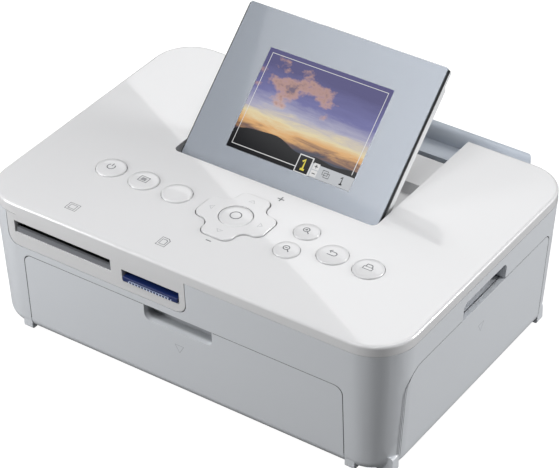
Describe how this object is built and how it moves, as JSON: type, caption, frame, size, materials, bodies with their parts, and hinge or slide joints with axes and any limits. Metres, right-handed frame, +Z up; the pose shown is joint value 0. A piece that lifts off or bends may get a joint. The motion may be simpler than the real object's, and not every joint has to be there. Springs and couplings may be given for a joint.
{
  "type": "compact photo printer",
  "caption": "Low box-shaped photo printer with a tilting screen, round deck buttons around a cross key, card slots, a drop-down paper door and a side door over an ink cassette.",
  "frame": {"origin": "middle of the footprint on the surface that the printer stands on", "axes": "+X to the printer's right, +Y to its back, +Z up"},
  "size_m": [0.178, 0.1378, 0.1004],
  "materials": {
    "white_shell": "gloss",
    "silver_shell": "satin",
    "dark_base": "matte",
    "rear_shell": "satin",
    "rubber": "matte",
    "steel": "satin",
    "head_metal": "satin",
    "silver_screen": "satin",
    "screen_frame": "matte",
    "screen_back": "satin",
    "display": "gloss",
    "display_backing": "satin",
    "button_silver": "satin",
    "dark_plastic": "matte",
    "card_shell": "matte",
    "circuit_board": "satin",
    "gear_plastic": "satin",
    "cassette_plastic": "satin",
    "ribbon": "gloss"
  },
  "bodies": {
    "base": {"main_case": "silver_shell", "base_plate": "dark_base", "rubber_feet": "rubber", "case_screws": "steel", "top_cover": "white_shell", "rear_cover": "rear_shell", "dc_inlet": "dark_plastic", "front_door_pins": "steel", "ink_door_pins": "steel", "key_board": "circuit_board", "key_switches": "dark_plastic", "cf_card_reader": "steel", "sd_card_reader": "steel", "cf_slot_lip": "white_shell", "frame": "steel", "pickup_shaft": "steel", "print_head_pivot": "steel", "gear_plate": "steel", "gear_plate_posts": "steel", "feed_motor": "steel", "main_board": "circuit_board", "usb_socket": "steel", "ink_cassette": "cassette_plastic", "ribbon_film": "ribbon"},
    "front_door": {"front_door": "silver_shell"},
    "ink_door": {"ink_door": "silver_shell"},
    "screen": {"screen_panel": "silver_screen", "screen_display": "display", "screen_inner_frame": "screen_frame", "screen_housing": "screen_back", "screen_hinge_pins": "steel", "display_module": "display_backing"},
    "memory_card": {"memory_card": "card_shell"},
    "ok_button": {"ok_button": "button_silver"},
    "cross_key_ring": {"cross_key_ring": "dark_plastic"},
    "cross_key": {"cross_key": "button_silver"},
    "platen": {"platen_roller": "rubber"},
    "capstan": {"capstan_roller": "steel", "capstan_gear": "gear_plastic"},
    "pinch": {"pinch_roller": "steel"},
    "idler": {"idler_gear": "gear_plastic"},
    "pinion": {"motor_pinion": "gear_plastic", "motor_shaft": "steel"},
    "pickup_arm": {"pickup_arm": "dark_plastic"},
    "pickup_roller": {"pickup_roller": "rubber"},
    "print_head": {"print_head": "head_metal", "print_head_arms": "steel"},
    "takeup_spool": {"takeup_spool": "gear_plastic", "takeup_ribbon_roll": "ribbon"},
    "supply_spool": {"supply_spool": "gear_plastic", "supply_ribbon_roll": "ribbon"},
    "power_button": {"power_button": "button_silver"},
    "menu_button": {"menu_button": "button_silver"},
    "edit_button": {"edit_button": "button_silver"},
    "zoom_in_button": {"zoom_in_button": "button_silver"},
    "zoom_out_button": {"zoom_out_button": "button_silver"},
    "back_button": {"back_button": "button_silver"},
    "print_button": {"print_button": "button_silver"}
  },
  "joints": [
    {"name": "front_door_hinge", "type": "hinge", "parent": "base", "child": "front_door", "pos_m": [0, -0.06127, 0.0065], "axis": [1, 0, 0], "range_deg": [0, 90]},
    {"name": "ink_door_hinge", "type": "hinge", "parent": "base", "child": "ink_door", "pos_m": [0.08142, -0.0071, 0.0065], "axis": [0, 1, 0], "range_deg": [0, 90]},
    {"name": "screen_hinge", "type": "hinge", "parent": "base", "child": "screen", "pos_m": [0, -0.00069, 0.0575], "axis": [1, 0, 0], "range_deg": [-42.2, 0]},
    {"name": "memory_card_slide", "type": "slide", "parent": "base", "child": "memory_card", "axis": [0, -1, 0], "range_m": [0, 0.02]},
    {"name": "power_press", "type": "slide", "parent": "base", "child": "power_button", "axis": [0, 0, -1], "range_m": [0, 0.0007], "stiffness_N_per_m": 400, "springref_m": -0.0006},
    {"name": "menu_press", "type": "slide", "parent": "base", "child": "menu_button", "axis": [0, 0, -1], "range_m": [0, 0.0007], "stiffness_N_per_m": 400, "springref_m": -0.0006},
    {"name": "edit_press", "type": "slide", "parent": "base", "child": "edit_button", "axis": [0, 0, -1], "range_m": [0, 0.0007], "stiffness_N_per_m": 400, "springref_m": -0.0006},
    {"name": "zoom_in_press", "type": "slide", "parent": "base", "child": "zoom_in_button", "axis": [0, 0, -1], "range_m": [0, 0.0007], "stiffness_N_per_m": 400, "springref_m": -0.0006},
    {"name": "zoom_out_press", "type": "slide", "parent": "base", "child": "zoom_out_button", "axis": [0, 0, -1], "range_m": [0, 0.0007], "stiffness_N_per_m": 400, "springref_m": -0.0006},
    {"name": "back_press", "type": "slide", "parent": "base", "child": "back_button", "axis": [0, 0, -1], "range_m": [0, 0.0007], "stiffness_N_per_m": 400, "springref_m": -0.0006},
    {"name": "print_press", "type": "slide", "parent": "base", "child": "print_button", "axis": [0, 0, -1], "range_m": [0, 0.0007], "stiffness_N_per_m": 400, "springref_m": -0.0006},
    {"name": "ok_press", "type": "slide", "parent": "base", "child": "ok_button", "axis": [0, 0, -1], "range_m": [0, 0.0005], "stiffness_N_per_m": 400, "springref_m": -0.0006},
    {"name": "cross_key_tilt_x", "type": "hinge", "parent": "base", "child": "cross_key_ring", "pos_m": [0, -0.03105, 0.0585], "axis": [1, 0, 0], "range_deg": [-2.5, 2.5], "stiffness_Nm_per_rad": 0.08},
    {"name": "cross_key_tilt_y", "type": "hinge", "parent": "cross_key_ring", "child": "cross_key", "pos_m": [0, -0.03105, 0.0585], "axis": [0, 1, 0], "range_deg": [-2.5, 2.5], "stiffness_Nm_per_rad": 0.08},
    {"name": "platen_spin", "type": "hinge", "parent": "base", "child": "platen", "pos_m": [0, 0.00565, 0.0145], "axis": [1, 0, 0], "continuous": true},
    {"name": "capstan_spin", "type": "hinge", "parent": "base", "child": "capstan", "pos_m": [0, 0.02065, 0.0182], "axis": [1, 0, 0], "continuous": true},
    {"name": "pinch_spin", "type": "hinge", "parent": "base", "child": "pinch", "pos_m": [0, 0.02065, 0.025], "axis": [1, 0, 0], "continuous": true},
    {"name": "idler_spin", "type": "hinge", "parent": "base", "child": "idler", "pos_m": [0, 0.00158, 0.02834], "axis": [1, 0, 0], "continuous": true},
    {"name": "pinion_spin", "type": "hinge", "parent": "base", "child": "pinion", "pos_m": [0, -0.01147, 0.03443], "axis": [1, 0, 0], "continuous": true},
    {"name": "pickup_arm_swing", "type": "hinge", "parent": "base", "child": "pickup_arm", "pos_m": [0, -0.00935, 0.017], "axis": [1, 0, 0], "range_deg": [-6, 0]},
    {"name": "pickup_spin", "type": "hinge", "parent": "pickup_arm", "child": "pickup_roller", "pos_m": [0, -0.02535, 0.0196], "axis": [1, 0, 0], "continuous": true},
    {"name": "print_head_lift", "type": "hinge", "parent": "base", "child": "print_head", "pos_m": [0, 0.01715, 0.0425], "axis": [-1, 0, 0], "range_deg": [0, 4]},
    {"name": "takeup_spin", "type": "hinge", "parent": "base", "child": "takeup_spool", "pos_m": [0, -0.01835, 0.0351], "axis": [1, 0, 0], "continuous": true},
    {"name": "supply_spin", "type": "hinge", "parent": "base", "child": "supply_spool", "pos_m": [0, 0.02965, 0.0351], "axis": [1, 0, 0], "continuous": true}
  ],
  "couplings": [
    {"joint": "idler_spin", "follows": "capstan_spin", "ratio": -1.25},
    {"joint": "pinion_spin", "follows": "capstan_spin", "ratio": 2.5},
    {"joint": "pinch_spin", "follows": "capstan_spin", "ratio": -1.9545},
    {"joint": "takeup_spin", "follows": "supply_spin", "ratio": 1.3704}
  ]
}
